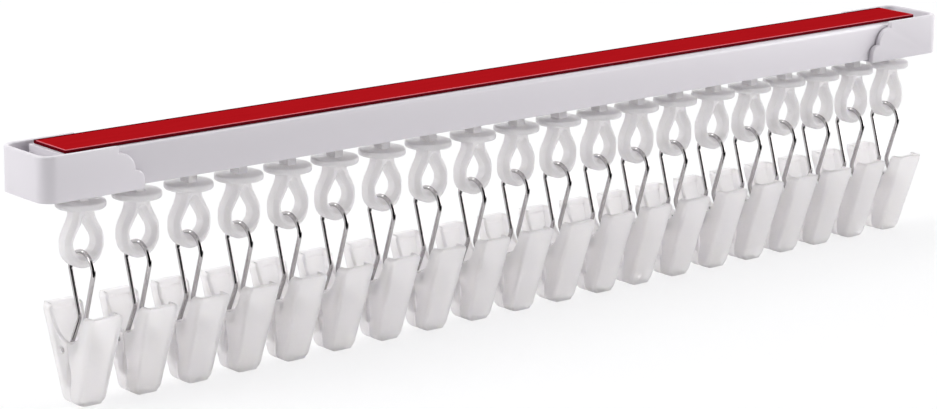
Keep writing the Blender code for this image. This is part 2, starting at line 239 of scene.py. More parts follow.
def combine(piece: bpy.types.Object, tool: bpy.types.Object, join: Join = Join.CUT) -> None:
    """Cut a tool away from a piece, or weld it on, and drop the tool.

    Args:
        piece: the piece that stays.
        tool: the solid that is used up.
        join: what becomes of the two.
    """
    refine(piece, "BOOLEAN", operation=join.value, solver="EXACT", object=tool)
    bpy.data.objects.remove(tool, do_unlink=True)


def soften(piece: bpy.types.Object, width: float, segments: int = 2, angle: float = 50.0) -> None:
    """Round the edges of a piece that are sharper than an angle.

    Args:
        piece: the piece to round.
        width: how far the rounding reaches, in millimetres.
        segments: steps of the rounding.
        angle: the angle in degrees.
    """
    refine(piece, "BEVEL", width=width * MM, segments=segments, limit_method="ANGLE",
           angle_limit=math.radians(angle), use_clamp_overlap=False)


def round_edges(piece: bpy.types.Object, width: float, segments: int,
                test: Callable[[Any], bool]) -> None:
    """Round chosen edges of a piece in edit mode.

    Args:
        piece: the piece to round.
        width: how far the rounding reaches, in millimetres.
        segments: steps of the rounding.
        test: says which edges are rounded.
    """
    with editing(piece):
        choose(piece, Element.EDGES, test)
        bpy.ops.mesh.bevel(offset=width * MM, segments=segments, affect="EDGES", profile=0.5,
                           miter_outer="ARC")


def split(piece: bpy.types.Object, axis: Axis, along: float, keep: Keep = Keep.ALL) -> None:
    """Cut a piece's faces along a plane that is square to an axis, or keep only one side.

    Args:
        piece: the piece whose faces are cut.
        axis: the axis that the plane is square to.
        along: where the plane is, in millimetres.
        keep: what stays of the piece.
    """
    normal = Vector((0, 0, 0))
    normal[axis] = 1.0
    with editing(piece):
        bpy.ops.mesh.select_all(action="SELECT")
        bpy.ops.mesh.bisect(plane_co=normal * along * MM, plane_no=normal,
                            use_fill=keep is not Keep.ALL, clear_inner=keep is Keep.ABOVE,
                            clear_outer=keep is Keep.BELOW)


def paint(piece: bpy.types.Object, slot: int, test: Callable[[Any], bool]) -> None:
    """Give the faces that pass a test the material in a slot.

    Args:
        piece: the piece.
        slot: the number of its material slot.
        test: says whether a face is wanted.
    """
    with editing(piece):
        choose(piece, Element.FACES, test)
        piece.active_material_index = slot
        bpy.ops.object.material_slot_assign()


def block(name: str, low: Triple, high: Triple) -> bpy.types.Object:
    """A cube that is sized to two corners.

    Args:
        name: the piece's name.
        low: the lowest corner in millimetres.
        high: the highest corner in millimetres.

    Returns:
        The block.
    """
    bpy.ops.object.select_all(action="DESELECT")
    size = (Vector(high) - Vector(low)) * MM
    bpy.ops.mesh.primitive_cube_add(size=1, location=(Vector(high) + Vector(low)) / 2 * MM,
                                    scale=size)
    piece = bpy.context.active_object
    piece.name = name
    settle(piece)
    return piece


def round_bar(name: str, radius: float, low: Triple, length: float, plane: Plane,
              sides: int) -> bpy.types.Object:
    """A cylinder that stands on a plane.

    Args:
        name: the piece's name.
        radius: in millimetres.
        low: the middle of its lower end, in millimetres.
        length: along the plane's third axis, in millimetres.
        plane: the plane that its round section lies in.
        sides: how many sides the section has.

    Returns:
        The bar.
    """
    turns = {Plane.YZ: (0, math.pi / 2, 0), Plane.XZ: (math.pi / 2, 0, 0), Plane.XY: (0, 0, 0)}
    bpy.ops.object.select_all(action="DESELECT")
    bpy.ops.mesh.primitive_cylinder_add(vertices=sides, radius=radius * MM, depth=length * MM,
                                        location=Vector(low) * MM + plane.travel(length / 2),
                                        rotation=turns[plane])
    piece = bpy.context.active_object
    piece.name = name
    settle(piece)
    return piece


def plate(name: str, outline: Sequence[Point], plane: Plane, low: float,
          high: float) -> bpy.types.Object:
    """A filled circle whose rim is pulled onto an outline, extruded to a plate.

    Args:
        name: the piece's name.
        outline: the points of the outline in the plane, in millimetres.
        plane: the plane that the outline is drawn in.
        low: where the plate starts along the third axis, in millimetres.
        high: where it ends, in millimetres.

    Returns:
        The plate.
    """
    bpy.ops.object.select_all(action="DESELECT")
    bpy.ops.mesh.primitive_circle_add(vertices=len(outline), radius=MM, fill_type="NGON")
    piece = bpy.context.active_object
    piece.name = name
    for vertex, point in zip(piece.data.vertices, outline):
        vertex.co = plane.place(point, low)
    with editing(piece):
        bpy.ops.mesh.select_all(action="SELECT")
        bpy.ops.mesh.extrude_region_move(
            TRANSFORM_OT_translate={"value": plane.travel(high - low)})
        bpy.ops.mesh.select_all(action="SELECT")
        bpy.ops.mesh.normals_make_consistent(inside=False)
    return piece


def arc(centre: Point, radius: float, start: float, end: float, steps: int) -> list[Point]:
    """Points on an arc, both ends included.

    Args:
        centre: the arc's centre.
        radius: the arc's radius.
        start: the first angle in degrees.
        end: the last angle in degrees.
        steps: how many steps lie between them.

    Returns:
        The points.
    """
    points = []
    for step in range(steps + 1):
        angle = math.radians(start + (end - start) * step / steps)
        points.append((centre[0] + radius * math.cos(angle), centre[1] + radius * math.sin(angle)))
    return points


def mirrored(points: Sequence[Point]) -> list[Point]:
    """The other half of a symmetric outline, in the order that closes it."""
    return [(-across, along) for across, along in reversed(points)]


def rounded_path(corners: Sequence[Vector], reaches: Sequence[float], steps: int) -> list[Vector]:
    """A path whose inner corners are replaced by smooth bends.

    Args:
        corners: the corners of the path.
        reaches: how far each inner corner's bend reaches along its two sides.
        steps: steps of each bend.

    Returns:
        The points of the path.
    """
    path = [corners[0]]
    for before, corner, after, reach in zip(corners, corners[1:], corners[2:], reaches):
        start = corner + (before - corner).normalized() * reach
        end = corner + (after - corner).normalized() * reach
        for step in range(steps + 1):
            share = step / steps
            path.append(start.lerp(corner, share).lerp(corner.lerp(end, share), share))
    path.append(corners[-1])
    return path


def shade(piece: bpy.types.Object, angle: float = 40.0) -> None:
    """Shade a piece smooth up to an angle in degrees."""
    hold(piece)
    bpy.ops.object.shade_smooth_by_angle(angle=math.radians(angle))


def copy_of(model: bpy.types.Object, name: str, place: Matrix) -> bpy.types.Object:
    """A copy of a model with its own mesh, put in its place.

    Args:
        model: the piece that was modelled once.
        name: the copy's name.
        place: where the copy goes, in metres.

    Returns:
        The copy, whose object sits at the origin.
    """
    mesh = model.data.copy()
    mesh.name = name
    mesh.transform(place)
    made = bpy.data.objects.new(name, mesh)
    bpy.context.scene.collection.objects.link(made)
    return made


def fit(piece: bpy.types.Object, body: str, slot: str, *nodes: str) -> None:
    """Let a piece ride on its body and stand for its CAD nodes.

    Args:
        piece: the finished piece.
        body: the body that it moves with.
        slot: the name of a material slot; it is not used.
        nodes: the CAD nodes that it stands for.
    """
    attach(piece, body)
    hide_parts(*nodes)


# Finishes


def linear(code: str) -> tuple[float, float, float, float]:
    """A colour from its sRGB hex value.

    Args:
        code: six hex digits.

    Returns:
        The linear colour with alpha.
    """
    values = []
    for start in (0, 2, 4):
        level = int(code[start:start + 2], 16) / 255
        values.append(level / 12.92 if level <= 0.04045 else ((level + 0.055) / 1.055) ** 2.4)
    return (values[0], values[1], values[2], 1.0)


def add_node(tree: bpy.types.NodeTree, kind: str, settings: Optional[dict] = None,
             links: Optional[dict] = None) -> bpy.types.Node:
    """Add a node to a tree.

    Args:
        tree: the tree.
        kind: the node's type.
        settings: values by the name of a property, or by the name or number of a socket.
        links: output sockets by the name or number of the input that they feed.

    Returns:
        The node.
    """
    node = tree.nodes.new(kind)
    for name, value in (settings or {}).items():
        if isinstance(name, int) or not hasattr(node, name):
            node.inputs[name].default_value = value
        else:
            setattr(node, name, value)
    for name, source in (links or {}).items():
        tree.links.new(source, node.inputs[name])
    return node


def blank_material(name: str) -> tuple[bpy.types.Material, bpy.types.NodeTree, bpy.types.Node]:
    """A material with nothing but its output.

    Args:
        name: the material's name.

    Returns:
        The material, its tree and its output node.
    """
    made = bpy.data.materials.new(name)
    made.use_nodes = True
    made.node_tree.nodes.clear()
    return made, made.node_tree, add_node(made.node_tree, "ShaderNodeOutputMaterial")


@dataclass(frozen=True)
class MouldedPlastic:
    """A moulded or extruded plastic: a fine skin, faint flow marks and a soft, even gloss.

    The skin's grain is really some hundredths of a millimetre wide. It is drawn about ten times
    as coarse, so that it shows.
    """

    name: str
    light: str
    dark: str
    roughness: float
    ior: float
    skin_mm: float
    skin_depth_mm: float
    flow_mm: Triple
    flow_depth_mm: float
    gloss: float = 0.5
    scatter: float = 0.0
    scatter_mm: float = 1.0
    scatter_colours: Triple = (1.0, 1.0, 0.95)
    clear: float = 0.0
    uneven: float = 0.15

    def build(self) -> bpy.types.Material:
        """Make the material.

        Returns:
            The material.
        """
        made, tree, output = blank_material(self.name)
        place = add_node(tree, "ShaderNodeTexCoord").outputs["Object"]
        stretched = add_node(tree, "ShaderNodeMapping",
                             {"Scale": tuple(1.0 / (size * MM) for size in self.flow_mm)},
                             {"Vector": place})
        flow = add_node(tree, "ShaderNodeTexNoise", {"Scale": 1.0, "Detail": 3.0},
                        {"Vector": stretched.outputs["Vector"]})
        skin = add_node(tree, "ShaderNodeTexNoise", {"Scale": 1.0 / (self.skin_mm * MM),
                                                     "Detail": 2.0}, {"Vector": place})
        # The Mix node's colours are its inputs 6 and 7 and its output 2
        tone = add_node(tree, "ShaderNodeMix", {"data_type": "RGBA", 6: linear(self.dark),
                                                7: linear(self.light)},
                        {0: flow.outputs["Fac"]})
        rough = add_node(tree, "ShaderNodeMapRange",
                         {"To Min": self.roughness * (1 - self.uneven),
                          "To Max": self.roughness * (1 + self.uneven)},
                         {"Value": skin.outputs["Fac"]})
        waves = add_node(tree, "ShaderNodeBump",
                         {"Strength": 1.0, "Distance": self.flow_depth_mm * MM},
                         {"Height": flow.outputs["Fac"]})
        grain = add_node(tree, "ShaderNodeBump",
                         {"Strength": 1.0, "Distance": self.skin_depth_mm * MM},
                         {"Height": skin.outputs["Fac"], "Normal": waves.outputs["Normal"]})
        shader = add_node(tree, "ShaderNodeBsdfPrincipled",
                          {"IOR": self.ior, "Specular IOR Level": self.gloss,
                           "Subsurface Weight": self.scatter,
                           "Subsurface Radius": self.scatter_colours,
                           "Subsurface Scale": self.scatter_mm * MM,
                           "Transmission Weight": self.clear},
                          {"Base Color": tone.outputs[2], "Roughness": rough.outputs["Result"],
                           "Normal": grain.outputs["Normal"]})
        tree.links.new(shader.outputs["BSDF"], output.inputs["Surface"])
        return made


@dataclass(frozen=True)
class PlatedWire:
    """Drawn spring steel with a bright nickel plate: fine lines along it and a mirror's sheen.

    The draw marks are really finer than a twentieth of a millimetre. They are drawn coarser, so
    that they show.
    """

    name: str = "nickel_plated_spring_steel"
    colour: str = "BCB9BA"
    roughness: float = 0.03
    uneven: float = 0.3
    line_mm: float = 0.25
    line_stretch: float = 30.0
    line_depth_mm: float = 0.002

    def build(self) -> bpy.types.Material:
        """Make the material.

        Returns:
            The material.
        """
        made, tree, output = blank_material(self.name)
        place = add_node(tree, "ShaderNodeTexCoord").outputs["Object"]
        across = 1.0 / (self.line_mm * MM)
        drawn = add_node(tree, "ShaderNodeMapping",
                         {"Scale": (across, across, across / self.line_stretch)},
                         {"Vector": place})
        lines = add_node(tree, "ShaderNodeTexNoise", {"Scale": 1.0, "Detail": 2.0},
                         {"Vector": drawn.outputs["Vector"]})
        gloss = add_node(tree, "ShaderNodeMapRange",
                         {"To Min": self.roughness * (1 - self.uneven),
                          "To Max": self.roughness * (1 + self.uneven)},
                         {"Value": lines.outputs["Fac"]})
        relief = add_node(tree, "ShaderNodeBump",
                          {"Strength": 1.0, "Distance": self.line_depth_mm * MM},
                          {"Height": lines.outputs["Fac"]})
        shader = add_node(tree, "ShaderNodeBsdfPrincipled",
                          {"Base Color": linear(self.colour), "Metallic": 1.0},
                          {"Roughness": gloss.outputs["Result"],
                           "Normal": relief.outputs["Normal"]})
        tree.links.new(shader.outputs["BSDF"], output.inputs["Surface"])
        return made


# Moulded and extruded ABS: a clean, faintly cool white with a broad soft gloss
WHITE_ABS = MouldedPlastic(
    "moulded_abs", light="DEDAE0", dark="D9D5DB", roughness=0.34, ior=1.53,
    skin_mm=0.5, skin_depth_mm=0.004, flow_mm=(90.0, 30.0, 30.0), flow_depth_mm=0.01)

# Natural nylon: milky, with light inside it and faint flow lines down the eye. The handbook's IOR
# is 1.53, and at that the thin walls keep too much light. The lower one stands for the milkiness
NYLON = MouldedPlastic(
    "natural_nylon", light="F8F6F7", dark="EFECEE", roughness=0.36, ior=1.3,
    skin_mm=0.6, skin_depth_mm=0.01, flow_mm=(3.0, 3.0, 14.0), flow_depth_mm=0.06,
    scatter=1.0, scatter_mm=4.0, clear=0.4)

# Frosted polypropylene: a waxy, half clear white that glows where light stands behind it. Its IOR
# is below the handbook's 1.49 for the same reason
FROSTED = MouldedPlastic(
    "frosted_polypropylene", light="FFFCFD", dark="FBF8F9", roughness=0.42, ior=1.2,
    skin_mm=0.35, skin_depth_mm=0.02, flow_mm=(5.0, 5.0, 18.0), flow_depth_mm=0.05,
    scatter=1.0, scatter_mm=3.0, clear=0.55)

# Polyethylene film: a deep, even red with a dull skin and long faint draw marks
RED_FILM = MouldedPlastic(
    "red_polyethylene_film", light="B4171E", dark="A81118", roughness=0.55, ior=1.51,
    skin_mm=0.4, skin_depth_mm=0.01, flow_mm=(14.0, 2.2, 4.0), flow_depth_mm=0.02, gloss=0.0)

# The film's cut edge: a painted highlight, paler and pink, where the edge catches the light
FILM_EDGE_HIGHLIGHT = MouldedPlastic(
    "film_edge_painted_highlight", light="E27680", dark="DA6A75", roughness=0.40, ior=1.51,
    skin_mm=0.4, skin_depth_mm=0.005, flow_mm=(10.0, 4.0, 4.0), flow_depth_mm=0.01, gloss=0.0)

# Acrylic foam: a dark, porous red without any shine
RED_FOAM = MouldedPlastic(
    "dark_red_acrylic_foam", light="6A0C18", dark="580812", roughness=0.55, ior=1.47,
    skin_mm=0.3, skin_depth_mm=0.02, flow_mm=(6.0, 4.0, 4.0), flow_depth_mm=0.02, gloss=0.0)

# Nickel-plated spring steel: a bright grey mirror, so that the wires show the pale surround with
# black lines where they face the dark card
NICKEL = PlatedWire()


# The rack's own pieces


@dataclass(frozen=True)
class Rail:
    """The extruded channel, open along its underside."""

    length: float = 350.0
    width: float = 20.0
    height: float = 12.0
    top: float = -1.1
    wall: float = 1.3
    lip: float = 1.2
    slot: float = 5.4
    edge_radius: float = 1.5
    edge_steps: int = 8
    soft_edge: float = 0.2

    def build(self, finish: bpy.types.Material) -> bpy.types.Object:
        """Model the channel and dress it.

        Args:
            finish: its plastic.

        Returns:
            The rail.
        """
        end = self.length / 2
        half = self.width / 2
        bottom = self.top - self.height
        inner = half - self.wall
        rail = block("rail_channel", (-end, -half, bottom), (end, half, self.top))
        round_edges(rail, self.edge_radius, self.edge_steps,
                    lambda edge: runs_along(edge, Axis.X) and middle(edge).z > self.top - NEAR)
        combine(rail, block("channel", (-end - PAST, -inner, bottom + self.lip),
                            (end + PAST, inner, self.top - self.wall)))
        combine(rail, block("slot", (-end - PAST, -self.slot / 2, bottom - PAST),
                            (end + PAST, self.slot / 2, self.top - self.wall - PAST)))
        soften(rail, self.soft_edge)
        shade(rail)
        rail.data.materials.append(finish)
        fit(rail, "rail_unit", "white_plastic", "rail")
        return rail


@dataclass(frozen=True)
class Tape:
    """Double-sided foam tape with its red release film.

    A pale pink strip along the film's front edge and its ends is a painted highlight on the cut
    edge. The strip along its back edge is painted with the foam's dark finish.
    """

    length: float = 350.0
    width: float = 16.5
    film: float = 0.2
    foam_top: float = -0.25
    foam: float = 0.8
    edge: float = 0.07
    edge_highlight_strip: float = 0.35
    dark_back_strip: float = 1.2

    def build(self, film: bpy.types.Material, cut: bpy.types.Material,
              foam: bpy.types.Material) -> list[bpy.types.Object]:
        """Model the foam and the film and dress them.

        Args:
            film: the film's finish.
            cut: the painted highlight on the film's cut edge.
            foam: the foam's finish, also painted on the film's strip along its back edge.

        Returns:
            The foam and the film.
        """
        end = self.length / 2
        half = self.width / 2
        core = block("tape_foam", (-end, -half, self.foam_top - self.foam),
                     (end, half, self.foam_top))
        soften(core, self.edge)
        core.data.materials.append(foam)
        fit(core, "rail_unit", "adhesive", "adhesive_tape")
        sheet = block("red_release_film", (-end, -half, -self.film), (end, half, 0))
        soften(sheet, self.edge)
        near, far, side = self.edge_highlight_strip - half, half - self.dark_back_strip, end - self.edge_highlight_strip
        for axis, along in ((Axis.Y, near), (Axis.Y, far), (Axis.X, -side), (Axis.X, side)):
            split(sheet, axis, along)
        for finish in (film, cut, foam):
            sheet.data.materials.append(finish)
        # The strips along the front edge and the ends take the painted highlight
        paint(sheet, slot=1, test=lambda face: middle(face).y < near or abs(middle(face).x) > side)
        # The film's strip along its back edge is painted with the foam's dark finish
        paint(sheet, slot=2, test=lambda face: middle(face).y > far)
        fit(sheet, "rail_unit", "red_film", "release_film")
        for piece in (core, sheet):
            shade(piece)
        return [core, sheet]


@dataclass(frozen=True)
class EndCap:
    """A cap that is pushed over the rail's end: stepped side walls, a floor and a closed end.

    The stop is a thin cross wall past the rail's end that keeps the gliders in. The seat is where
    the rail's underside lies, and the slot leaves room for the gliders' necks.
    """

    end: float = 184.7
    half_width: float = 12.1
    top: float = -0.4
    bottom: float = -13.9
    wall: float = 1.8
    end_wall: float = 1.5
    corner_radius: float = 4.8
    corner_steps: int = 12
    stop: float = 175.3
    stop_wall: float = 1.0
    stop_half: float = 8.9
    stop_top: float = -1.1
    floor: float = 1.5
    seat: float = -13.4
    slot_half: float = 3.5
    start: float = 150.9
    grip_top: float = 159.5
    scallop_drop: float = 2.0
    scallop: float = 5.6
    scallop_steps: int = 16
    step_steps: int = 10
    overlap: float = 0.2
    rim_round: float = 0.5
    rim_steps: int = 4
    rim_angle: float = 45.0
    soft_edge: float = 0.18

    def profile(self) -> list[Point]:
        """What is cut from the side walls, seen from the front.

        Returns:
            The outline of the cut: two rounded steps.
        """
        step_x = self.grip_top - self.scallop
        step_z = self.top - self.scallop_drop - self.scallop
        step = step_x - self.start
        upper = arc((self.grip_top, step_z), self.scallop, 90, 180, self.scallop_steps)
        lower = arc((step_x, step_z - step), step, 90, 180, self.step_steps)
        outside, above, below = self.start - 2 * PAST, self.top + 2 * PAST, self.bottom - 2 * PAST
        return [(outside, above), (self.grip_top, above), *upper, *lower[1:],
                (self.start, below), (outside, below)]

    def model(self) -> bpy.types.Object:
        """Model the right cap.

        Returns:
            The cap.
        """
        half, inside = self.half_width, self.half_width - self.wall
        over, before = self.top + 2 * PAST, self.start - 2 * PAST
        pocket_start, pocket_floor = self.stop + self.stop_wall, self.bottom + self.floor
        behind_stop = pocket_start + self.overlap
        cap = block("cap", (self.start, -half, self.bottom), (self.end, half, self.top))
        round_edges(cap, self.corner_radius, self.corner_steps,
                    lambda edge: runs_along(edge, Axis.Z) and middle(edge).x > self.end - NEAR)
        pocket = block("pocket", (pocket_start, -inside, pocket_floor),
                       (self.end - self.end_wall, inside, over))
        round_edges(pocket, self.corner_radius - self.wall, self.corner_steps,
                    lambda edge: runs_along(edge, Axis.Z) and middle(edge).x > pocket_start + NEAR)
        combine(cap, pocket)
        combine(cap, block("above_rail", (before, -inside, self.stop_top),
                           (behind_stop, inside, over)))
        for near, far in ((-inside, -self.stop_half), (self.stop_half, inside)):
            combine(cap, block("beside_stop", (self.stop - self.overlap, near, pocket_floor),
                               (behind_stop, far, over)))
        combine(cap, block("seat", (before, -inside, self.seat), (self.stop, inside, over)))
        combine(cap, block("slot", (before, -self.slot_half, self.bottom - PAST),
                           (self.stop, self.slot_half, over)))
        combine(cap, plate("scallop", self.profile(), Plane.XZ, -half - PAST, half + PAST))
        round_edges(cap, self.rim_round, self.rim_steps, self.is_rim)
        soften(cap, self.soft_edge)
        shade(cap)
        return cap

    def is_rim(self, edge: Any) -> bool:
        """Whether an edge runs round the open top or down the outside of a scallop.

        Args:
            edge: an edge of the cap.

        Returns:
            True for the edges that a hand feels.
        """
        spots = [vert.co / MM for vert in edge.verts]
        on_top = all(spot.z > self.top - TOUCHING for spot in spots)
        outside = all(abs(spot.y) > self.half_width - TOUCHING and spot.x < self.grip_top + NEAR
                      for spot in spots)
        wanted = on_top or (outside and middle(edge).z > self.bottom + NEAR)
        return wanted and is_sharp(edge, self.rim_angle)

    def build(self, finish: bpy.types.Material) -> list[bpy.types.Object]:
        """Model one cap and place both.

        Args:
            finish: their plastic.

        Returns:
            The two caps.
        """
        cap = self.model()
        cap.data.materials.append(finish)
        made = []
        for side in Side:
            name = f"end_cap_{side.name.lower()}"
            piece = copy_of(cap, f"{name}_shell", Matrix.Rotation(side.value, 4, "Z"))
            fit(piece, "rail_unit", "white_plastic", name)
            made.append(piece)
        bpy.data.objects.remove(cap, do_unlink=True)
        return made


@dataclass(frozen=True)
class Glider:
    """One moulded glider: head in the channel, neck, disc and an eye with a drop-shaped hole.

    The stem and the neck are sunk a little into the disc and the head, so that they join. The
    peak's curve gives the hole's pointed top as steps across and down from the peak.
    """

    sunk: float = 0.3
    head_bottom: float = -11.6
    head: Triple = (6.0, 13.0, 2.2)
    neck: Point = (3.0, 4.4)
    disc_top: float = -17.4
    disc_bottom: float = -19.4
    disc_radius: float = 7.35
    disc_sides: int = 64
    disc_rim: float = 0.6
    disc_rim_steps: int = 3
    stem: float = 7.0
    shoulder_top: float = -20.5
    shoulder: float = 8.5
    shoulder_steps: int = 12
    eye_width: float = 13.14
    eye_depth: float = 5.7
    eye_bottom: float = -37.22
    eye_steps: int = 16
    eye_edge: float = 1.25
    hole_radius: float = 3.8
    hole_steps: int = 14
    bar: float = 3.6
    peak: float = 7.6
    peak_curve: tuple[Point, ...] = ((0.3, 0.15), (0.5, 0.5), (1.0, 1.9))
    soft_edge: float = 0.25
    sharp: float = 60.0
    smooth: float = 35.0

    def eye_outline(self) -> list[Point]:
        """Stem, shoulders and round eye, seen from the front.

        Returns:
            The outline.
        """
        half = self.eye_width / 2
        side = [(self.stem / 2, self.disc_bottom + self.sunk), (self.stem / 2, self.shoulder_top)]
        for step in range(1, self.shoulder_steps + 1):
            share = step / self.shoulder_steps
            swell = (half - self.stem / 2) * (0.5 - 0.5 * math.cos(math.pi * share))
            side.append((self.stem / 2 + swell, self.shoulder_top - self.shoulder * share))
        side += arc((0, self.eye_bottom + half), half, 0, -90, self.eye_steps)
        return side + mirrored(side[:-1])

    def hole_outline(self) -> list[Point]:
        """The drop-shaped hole, seen from the front.

        Returns:
            The outline.
        """
        centre = self.eye_bottom + self.bar + self.hole_radius
        lean = math.degrees(math.asin(self.hole_radius / self.peak))
        side = [(across, centre + self.peak - drop) for across, drop in self.peak_curve]
        side += arc((0, centre), self.hole_radius, lean, -90, self.hole_steps)
        return [(0, centre + self.peak)] + side + mirrored(side[:-1])

    def model(self) -> bpy.types.Object:
        """Model one glider at X = 0.

        Returns:
            The glider.
        """
        depth = self.eye_depth / 2
        eye = plate("glider", self.eye_outline(), Plane.XZ, -depth, depth)
        combine(eye, plate("hole", self.hole_outline(), Plane.XZ, -depth - PAST, depth + PAST))
        round_edges(eye, self.eye_edge, segments=1,
                    test=lambda edge: is_sharp(edge, self.sharp)
                    and not runs_along(edge, Axis.Y) and middle(edge).z < self.disc_bottom)
        disc = round_bar("disc", self.disc_radius, (0, 0, self.disc_bottom),
                         self.disc_top - self.disc_bottom, Plane.XY, self.disc_sides)
        soften(disc, self.disc_rim, self.disc_rim_steps, self.sharp)
        combine(eye, disc, Join.WELD)
        neck = block("neck", (-self.neck[0] / 2, -self.neck[1] / 2, self.disc_top - self.sunk),
                     (self.neck[0] / 2, self.neck[1] / 2, self.head_bottom + self.sunk))
        combine(eye, neck, Join.WELD)
        head = block("head", (-self.head[0] / 2, -self.head[1] / 2, self.head_bottom),
                     (self.head[0] / 2, self.head[1] / 2, self.head_bottom + self.head[2]))
        soften(head, self.soft_edge, angle=self.sharp)
        combine(eye, head, Join.WELD)
        shade(eye, self.smooth)
        return eye


@dataclass(frozen=True)
class WireSpring:
    """One bent wire: a loop over the glider's bar, a waist, and two ends hooked in the jaws.

    The bend at the shoulder takes the place of the loop's first points, up to the shoulder point.
    """

    diameter: float = 1.4
    loop_radius: float = 6.1
    loop_centre: float = -38.72
    loop_end: float = 5.0
    loop_steps: int = 24
    shoulder_bend: float = 0.8
    waist_half: float = 1.5
    waist: float = -52.62
    waist_bend: float = 1.2
    hole: float = -61.92
    hole_across: float = 3.0
    tip: float = 5.2
    tip_corner: float = 2.6
    tip_bend: float = 1.5
    tip_round: float = 0.2
    bend_steps: int = 7
    shoulder_point: int = 3
    roundness: int = 6
    sharp: float = 60.0
    smooth: float = 50.0

    def path(self) -> list[Vector]:
        """The wire's middle line, from the tip at the back over the loop to the front tip.

        Returns:
            The points in millimetres.
        """
        loop = [Vector((0, *point)) for point in
                arc((0, self.loop_centre), self.loop_radius, self.loop_end, 90, self.loop_steps)]
        corners = [Vector((-self.tip, self.hole_across, self.hole)),
                   Vector((-self.tip_corner, self.hole_across, self.hole)),
                   Vector((0, self.waist_half, self.waist)), loop[0], loop[self.shoulder_point]]
        reaches = (self.tip_bend, self.waist_bend, self.shoulder_bend)
        half = rounded_path(corners, reaches, self.bend_steps) + loop[self.shoulder_point + 1:]
        return half + [Vector((-point.x, -point.y, point.z)) for point in reversed(half[:-1])]

    def model(self) -> bpy.types.Object:
        """Model one wire at X = 0.

        Returns:
            The wire.
        """
        bpy.ops.object.select_all(action="DESELECT")
        bpy.ops.curve.primitive_nurbs_path_add()
        wire = bpy.context.active_object
        wire.location = (0, 0, 0)
        shape = wire.data
        shape.splines.clear()
        shape.bevel_depth = self.diameter / 2 * MM
        shape.bevel_resolution = self.roundness
        shape.use_fill_caps = True
        line = shape.splines.new("POLY")
        points = self.path()
        line.points.add(len(points) - 1)
        for target, point in zip(line.points, points):
            target.co = (*(point * MM), 1.0)
        hold(wire)
        bpy.ops.object.convert(target="MESH")
        wire = bpy.context.active_object
        wire.name = "wire"
        soften(wire, self.tip_round, segments=3, angle=self.sharp)
        shade(wire, self.smooth)
        return wire

    def parts(self, wire: bpy.types.Object) -> tuple[bpy.types.Object, bpy.types.Object]:
        """Cut a wire at its waist, for a clip whose jaws open.

        Args:
            wire: the whole wire, which stays as it is.

        Returns:
            The loop above the waist, and the leg at the back below it.
        """
        bow = copy_of(wire, "wire_bow", Matrix())
        split(bow, Axis.Z, self.waist, Keep.ABOVE)
        leg = copy_of(wire, "wire_leg", Matrix())
        split(leg, Axis.Z, self.waist, Keep.BELOW)
        split(leg, Axis.Y, 0, Keep.ABOVE)
        for piece in (bow, leg):
            shade(piece, self.smooth)
        return bow, leg

    def flex(self, leg: bpy.types.Object, half: Half, number: str) -> None:
        """Put a leg's place into its mesh and hide the CAD node of its clip's wire.

        Args:
            leg: the leg in its place.
            half: the leg's side of the clip.
            number: the clip's number.
        """
        loop, jaw = f"wire_spring_{number}", f"{half.word}_jaw_{number}"
        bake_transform(leg)
        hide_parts(loop)


